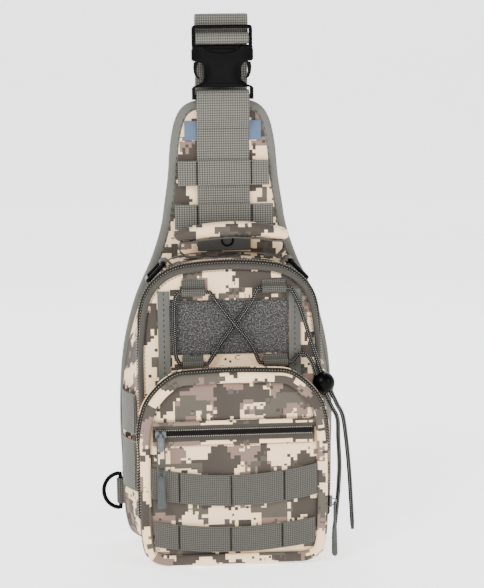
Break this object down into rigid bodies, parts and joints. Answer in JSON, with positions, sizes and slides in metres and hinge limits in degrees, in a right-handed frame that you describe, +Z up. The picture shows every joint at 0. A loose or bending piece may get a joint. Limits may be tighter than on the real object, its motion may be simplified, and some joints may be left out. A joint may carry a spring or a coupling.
{
  "type": "sling bag",
  "caption": "Single-strap sling bag with a padded back panel, zipped main compartment, front pocket, laced elastic cord and side-release buckle.",
  "frame": {"origin": "middle of the flat bottom of the main compartment, on the floor the bag stands on", "axes": "+Z up along the back panel, -Y out of the front pocket, +X to the right of someone facing the bag's front"},
  "size_m": [0.2336, 0.1196, 0.4984],
  "materials": {
    "camo_cloth": "pixel camouflage woven nylon",
    "grey_webbing": "coarse woven webbing",
    "binding_tape": "ribbed binding tape",
    "spacer_mesh": "air mesh",
    "foam": "closed-cell foam under cloth",
    "loop_pile": "brushed loop pile",
    "zip_tape": "coil zip on woven tape",
    "black_plastic": "moulded acetal",
    "cord_braid": "braided elastic cord, black with white flecks",
    "grey_rubber": "moulded grip",
    "dark_rubber": "moulded grip",
    "slider_metal": "dark coated zinc",
    "blue_grey_tape": "plain woven tape"
  },
  "bodies": {
    "pack_body": {"back_face": "camo_cloth", "back_core": "foam", "back_mesh": "spacer_mesh", "back_binding": "binding_tape", "shoulder_cross_strip": "blue_grey_tape", "shoulder_row_1": "grey_webbing", "shoulder_row_2": "grey_webbing", "cable_port_patch": "dark_rubber", "cable_port_ring": "black_plastic", "shoulder_webbing": "grey_webbing", "buckle_female": "black_plastic", "strap_lower": "grey_webbing", "main_gusset": "camo_cloth", "main_zip_rear_tape": "zip_tape", "main_hinge_seam": "camo_cloth", "side_webbing_left_lower": "grey_webbing", "side_webbing_left_upper": "grey_webbing", "side_webbing_right": "grey_webbing", "ring_tab_left": "grey_webbing", "ring_tab_right": "grey_webbing", "bottom_ring_tab": "grey_webbing"},
    "front_panel": {"main_zip_front_tape": "zip_tape", "main_front_panel": "camo_cloth", "main_piping": "binding_tape", "loop_panel": "loop_pile", "front_strip_left": "grey_webbing", "front_strip_right": "grey_webbing", "cord_loop_top_left": "grey_webbing", "cord_loop_top_right": "grey_webbing", "cord_loop_bottom_left": "grey_webbing", "cord_loop_bottom_right": "grey_webbing", "bungee_cord_a": "cord_braid", "bungee_cord_b": "cord_braid", "pocket_gusset": "camo_cloth", "pocket_zip_rear_tape": "zip_tape", "pocket_hinge_seam": "camo_cloth"},
    "pocket_front": {"pocket_zip_front_tape": "zip_tape", "pocket_front_panel": "camo_cloth", "pocket_piping": "camo_cloth", "slash_zip": "zip_tape", "slash_pocket_bag": "binding_tape", "pocket_row_1": "grey_webbing", "pocket_row_2": "grey_webbing"},
    "slash_slider_body": {"slash_slider": "slider_metal"},
    "slash_pull_body": {"slash_pull": "grey_rubber"},
    "main_slider_body": {"main_slider": "slider_metal"},
    "main_pull_body": {"main_pull": "dark_rubber"},
    "pocket_slider_body": {"pocket_slider": "slider_metal"},
    "pocket_pull_body": {"pocket_pull": "grey_rubber"},
    "left_ring": {"top_ring_left": "black_plastic"},
    "right_ring": {"top_ring_right": "black_plastic"},
    "hip_ring": {"bottom_ring": "black_plastic"},
    "carry_handle": {"handle_pad": "camo_cloth", "handle_webbing": "grey_webbing"},
    "buckle_half": {"buckle_male": "black_plastic", "strap_upper": "grey_webbing"},
    "prong_left": {"buckle_prong_left": "black_plastic"},
    "prong_right": {"buckle_prong_right": "black_plastic"},
    "cord_lock": {"cord_lock_ball": "black_plastic"},
    "lock_plunger": {"cord_lock_plunger": "dark_rubber"}
  },
  "joints": [
    {"name": "main_opening", "type": "hinge", "parent": "pack_body", "child": "front_panel", "pos_m": [0, -0.015, 0], "axis": [1, 0, 0], "range_deg": [0, 60]},
    {"name": "pocket_opening", "type": "hinge", "parent": "front_panel", "child": "pocket_front", "pos_m": [0, -0.053, 0], "axis": [1, 0, 0], "range_deg": [0, 45]},
    {"name": "slash_slider_slide", "type": "slide", "parent": "pocket_front", "child": "slash_slider_body", "axis": [1, 0, 0], "range_m": [0, 0.132]},
    {"name": "slash_pull_swing", "type": "hinge", "parent": "slash_slider_body", "child": "slash_pull_body", "pos_m": [-0.066, -0.0636, 0.1235], "axis": [-1, 0, 0], "range_deg": [0, 150]},
    {"name": "main_slider_slide", "type": "slide", "parent": "pack_body", "child": "main_slider_body", "axis": [0, 0, 1], "range_m": [0, 0.09]},
    {"name": "main_pull_swing", "type": "hinge", "parent": "main_slider_body", "child": "main_pull_body", "pos_m": [0.0895, -0.0147, 0.095], "axis": [0, -1, 0], "range_deg": [0, 150]},
    {"name": "pocket_slider_slide", "type": "slide", "parent": "front_panel", "child": "pocket_slider_body", "axis": [0, 0, 1], "range_m": [0, 0.04]},
    {"name": "pocket_pull_swing", "type": "hinge", "parent": "pocket_slider_body", "child": "pocket_pull_body", "pos_m": [0.0913, -0.0527, 0.055], "axis": [0, -1, 0], "range_deg": [0, 150]},
    {"name": "left_ring_swing", "type": "hinge", "parent": "pack_body", "child": "left_ring", "pos_m": [-0.059, 0.01, 0.27063], "axis": [0, 1, 0], "range_deg": [0, 110]},
    {"name": "right_ring_swing", "type": "hinge", "parent": "pack_body", "child": "right_ring", "pos_m": [0.059, 0.01, 0.27063], "axis": [0, -1, 0], "range_deg": [0, 110]},
    {"name": "hip_ring_swing", "type": "hinge", "parent": "pack_body", "child": "hip_ring", "pos_m": [-0.10307, 0.0435, 0.0465], "axis": [0, 0, 1], "range_deg": [-80, 80]},
    {"name": "handle_lean", "type": "hinge", "parent": "pack_body", "child": "carry_handle", "pos_m": [0.0055, 0.012, 0.27467], "axis": [1, 0, 0], "range_deg": [-8, 22], "stiffness_Nm_per_rad": 0.05},
    {"name": "buckle_release", "type": "slide", "parent": "pack_body", "child": "buckle_half", "axis": [0, 0, 1], "range_m": [0, 0.045], "deforming": ["buckle_prong_left", "buckle_prong_right"]},
    {"name": "prong_left_press", "type": "hinge", "parent": "buckle_half", "child": "prong_left", "pos_m": [-0.0227, 0.0295, 0.4655], "axis": [0, -1, 0], "range_deg": [0, 8], "stiffness_Nm_per_rad": 1},
    {"name": "prong_right_press", "type": "hinge", "parent": "buckle_half", "child": "prong_right", "pos_m": [0.0227, 0.0295, 0.4655], "axis": [0, 1, 0], "range_deg": [0, 8], "stiffness_Nm_per_rad": 1},
    {"name": "cord_lock_slide", "type": "slide", "parent": "front_panel", "child": "cord_lock", "axis": [0.42, 0, -0.9075], "range_m": [0, 0.016]},
    {"name": "plunger_press", "type": "slide", "parent": "cord_lock", "child": "lock_plunger", "axis": [0, -1, 0], "range_m": [0, 0.0022], "stiffness_N_per_m": 1500}
  ]
}
